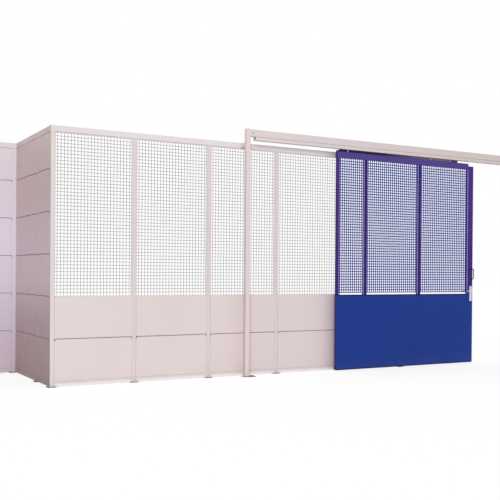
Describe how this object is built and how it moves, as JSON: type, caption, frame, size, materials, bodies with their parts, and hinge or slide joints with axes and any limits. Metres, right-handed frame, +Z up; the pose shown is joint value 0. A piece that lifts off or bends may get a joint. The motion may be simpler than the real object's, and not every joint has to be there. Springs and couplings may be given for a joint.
{
  "type": "wire mesh partition with sliding door",
  "caption": "Steel partition of sheet trays and wire mesh bays with a wide top-hung mesh sliding door on an overhead track, a hook lock, levers and bow handles.",
  "frame": {"origin": "on the floor at the outer front corner of the corner post, where the front wall meets the side wall", "axes": "+X right along the front wall, +Y back from the front wall's face, +Z up from the floor"},
  "size_m": [8.755, 1.877, 3.163],
  "materials": {
    "cream_paint": "satin powder coat",
    "side_paint": "satin powder coat",
    "wire_grey": "galvanised wire, matt",
    "navy_paint": "satin powder coat",
    "blue_sheet": "satin powder coat",
    "blue_mesh": "satin powder coat",
    "lilac_strip": "satin powder coat",
    "silver_metal": "brushed",
    "zinc_steel": "zinc plated",
    "black_paint": "satin black",
    "black_nylon": "matt nylon",
    "black_rubber": "matt",
    "key_brass": "plain"
  },
  "bodies": {
    "partition": {"corner_post": "cream_paint", "wall_posts": "cream_paint", "jamb_post": "cream_paint", "side_post": "side_paint", "back_corner_post": "cream_paint", "front_top_rail": "cream_paint", "side_top_rail": "side_paint", "left_top_rail": "cream_paint", "bottom_rails": "cream_paint", "mesh_frames": "cream_paint", "wire_mesh_1": "wire_grey", "wire_mesh_2": "wire_grey", "wire_mesh_3": "wire_grey", "wire_mesh_4": "wire_grey", "front_lower_trays": "cream_paint", "front_upper_trays": "cream_paint", "side_trays": "side_paint", "left_trays": "cream_paint", "left_track_post": "cream_paint", "right_track_post": "cream_paint", "tube_caps": "cream_paint", "wall_bracket": "zinc_steel", "header_beam": "cream_paint", "header_brackets": "zinc_steel", "header_bolts": "zinc_steel", "door_track": "cream_paint", "track_bolts": "zinc_steel", "track_stops": "black_rubber", "closing_channel": "cream_paint", "strike_box": "silver_metal", "floor_guide": "zinc_steel"},
    "door": {"door_left_stile": "navy_paint", "door_lock_stile": "navy_paint", "door_top_rail": "navy_paint", "door_bottom_rail": "navy_paint", "door_mullions": "navy_paint", "door_mid_rails": "navy_paint", "door_mesh_1": "blue_mesh", "door_mesh_2": "blue_mesh", "door_mesh_3": "blue_mesh", "mesh_clamp_strips": "lilac_strip", "door_sheet": "blue_sheet", "hanger_bar": "navy_paint", "trolleys": "zinc_steel", "wheel_axles": "silver_metal", "pendant_bolts": "zinc_steel", "bow_handles": "black_paint", "lock_case": "silver_metal", "lock_plates": "silver_metal", "key_cylinder": "silver_metal"},
    "wheels_1": {"trolley_wheels_1": "black_nylon"},
    "wheels_2": {"trolley_wheels_2": "black_nylon"},
    "wheels_3": {"trolley_wheels_3": "black_nylon"},
    "wheels_4": {"trolley_wheels_4": "black_nylon"},
    "roller": {"guide_roller": "black_nylon"},
    "lever": {"lever_handles": "silver_metal", "lever_spindle": "zinc_steel"},
    "key": {"key_plug": "key_brass"},
    "hook": {"hook_bolt": "zinc_steel"}
  },
  "joints": [
    {"name": "door_slide", "type": "slide", "parent": "partition", "child": "door", "axis": [1, 0, 0], "range_m": [-1.33, 1.108]},
    {"name": "wheel_spin_1", "type": "hinge", "parent": "door", "child": "wheels_1", "pos_m": [4.027, -0.1275, 3.0393], "axis": [0, 1, 0], "range_deg": [-5500, 5500]},
    {"name": "wheel_spin_2", "type": "hinge", "parent": "door", "child": "wheels_2", "pos_m": [4.083, -0.1275, 3.0393], "axis": [0, 1, 0], "range_deg": [-5500, 5500]},
    {"name": "wheel_spin_3", "type": "hinge", "parent": "door", "child": "wheels_3", "pos_m": [5.884, -0.1275, 3.0393], "axis": [0, 1, 0], "range_deg": [-5500, 5500]},
    {"name": "wheel_spin_4", "type": "hinge", "parent": "door", "child": "wheels_4", "pos_m": [5.94, -0.1275, 3.0393], "axis": [0, 1, 0], "range_deg": [-5500, 5500]},
    {"name": "roller_spin", "type": "hinge", "parent": "partition", "child": "roller", "pos_m": [5.029, -0.1275, 0.0335], "axis": [0, 0, 1], "range_deg": [-4300, 4300]},
    {"name": "lever_turn", "type": "hinge", "parent": "door", "child": "lever", "pos_m": [6.354, -0.1275, 1.076], "axis": [0, -1, 0], "range_deg": [0, 40], "stiffness_Nm_per_rad": 1.2, "springref_deg": -28.65},
    {"name": "key_turn", "type": "hinge", "parent": "door", "child": "key", "pos_m": [6.354, -0.1275, 1], "axis": [0, 1, 0], "range_deg": [0, 90]},
    {"name": "hook_swing", "type": "hinge", "parent": "door", "child": "hook", "pos_m": [6.376, -0.1275, 1.03], "axis": [0, 1, 0], "range_deg": [0, 90]}
  ],
  "couplings": [
    {"joint": "wheel_spin_1", "follows": "door_slide", "rad_per_m": 71.429},
    {"joint": "wheel_spin_2", "follows": "door_slide", "rad_per_m": 71.429},
    {"joint": "wheel_spin_3", "follows": "door_slide", "rad_per_m": 71.429},
    {"joint": "wheel_spin_4", "follows": "door_slide", "rad_per_m": 71.429},
    {"joint": "roller_spin", "follows": "door_slide", "rad_per_m": 55.556},
    {"joint": "hook_swing", "follows": "key_turn", "ratio": 1}
  ]
}
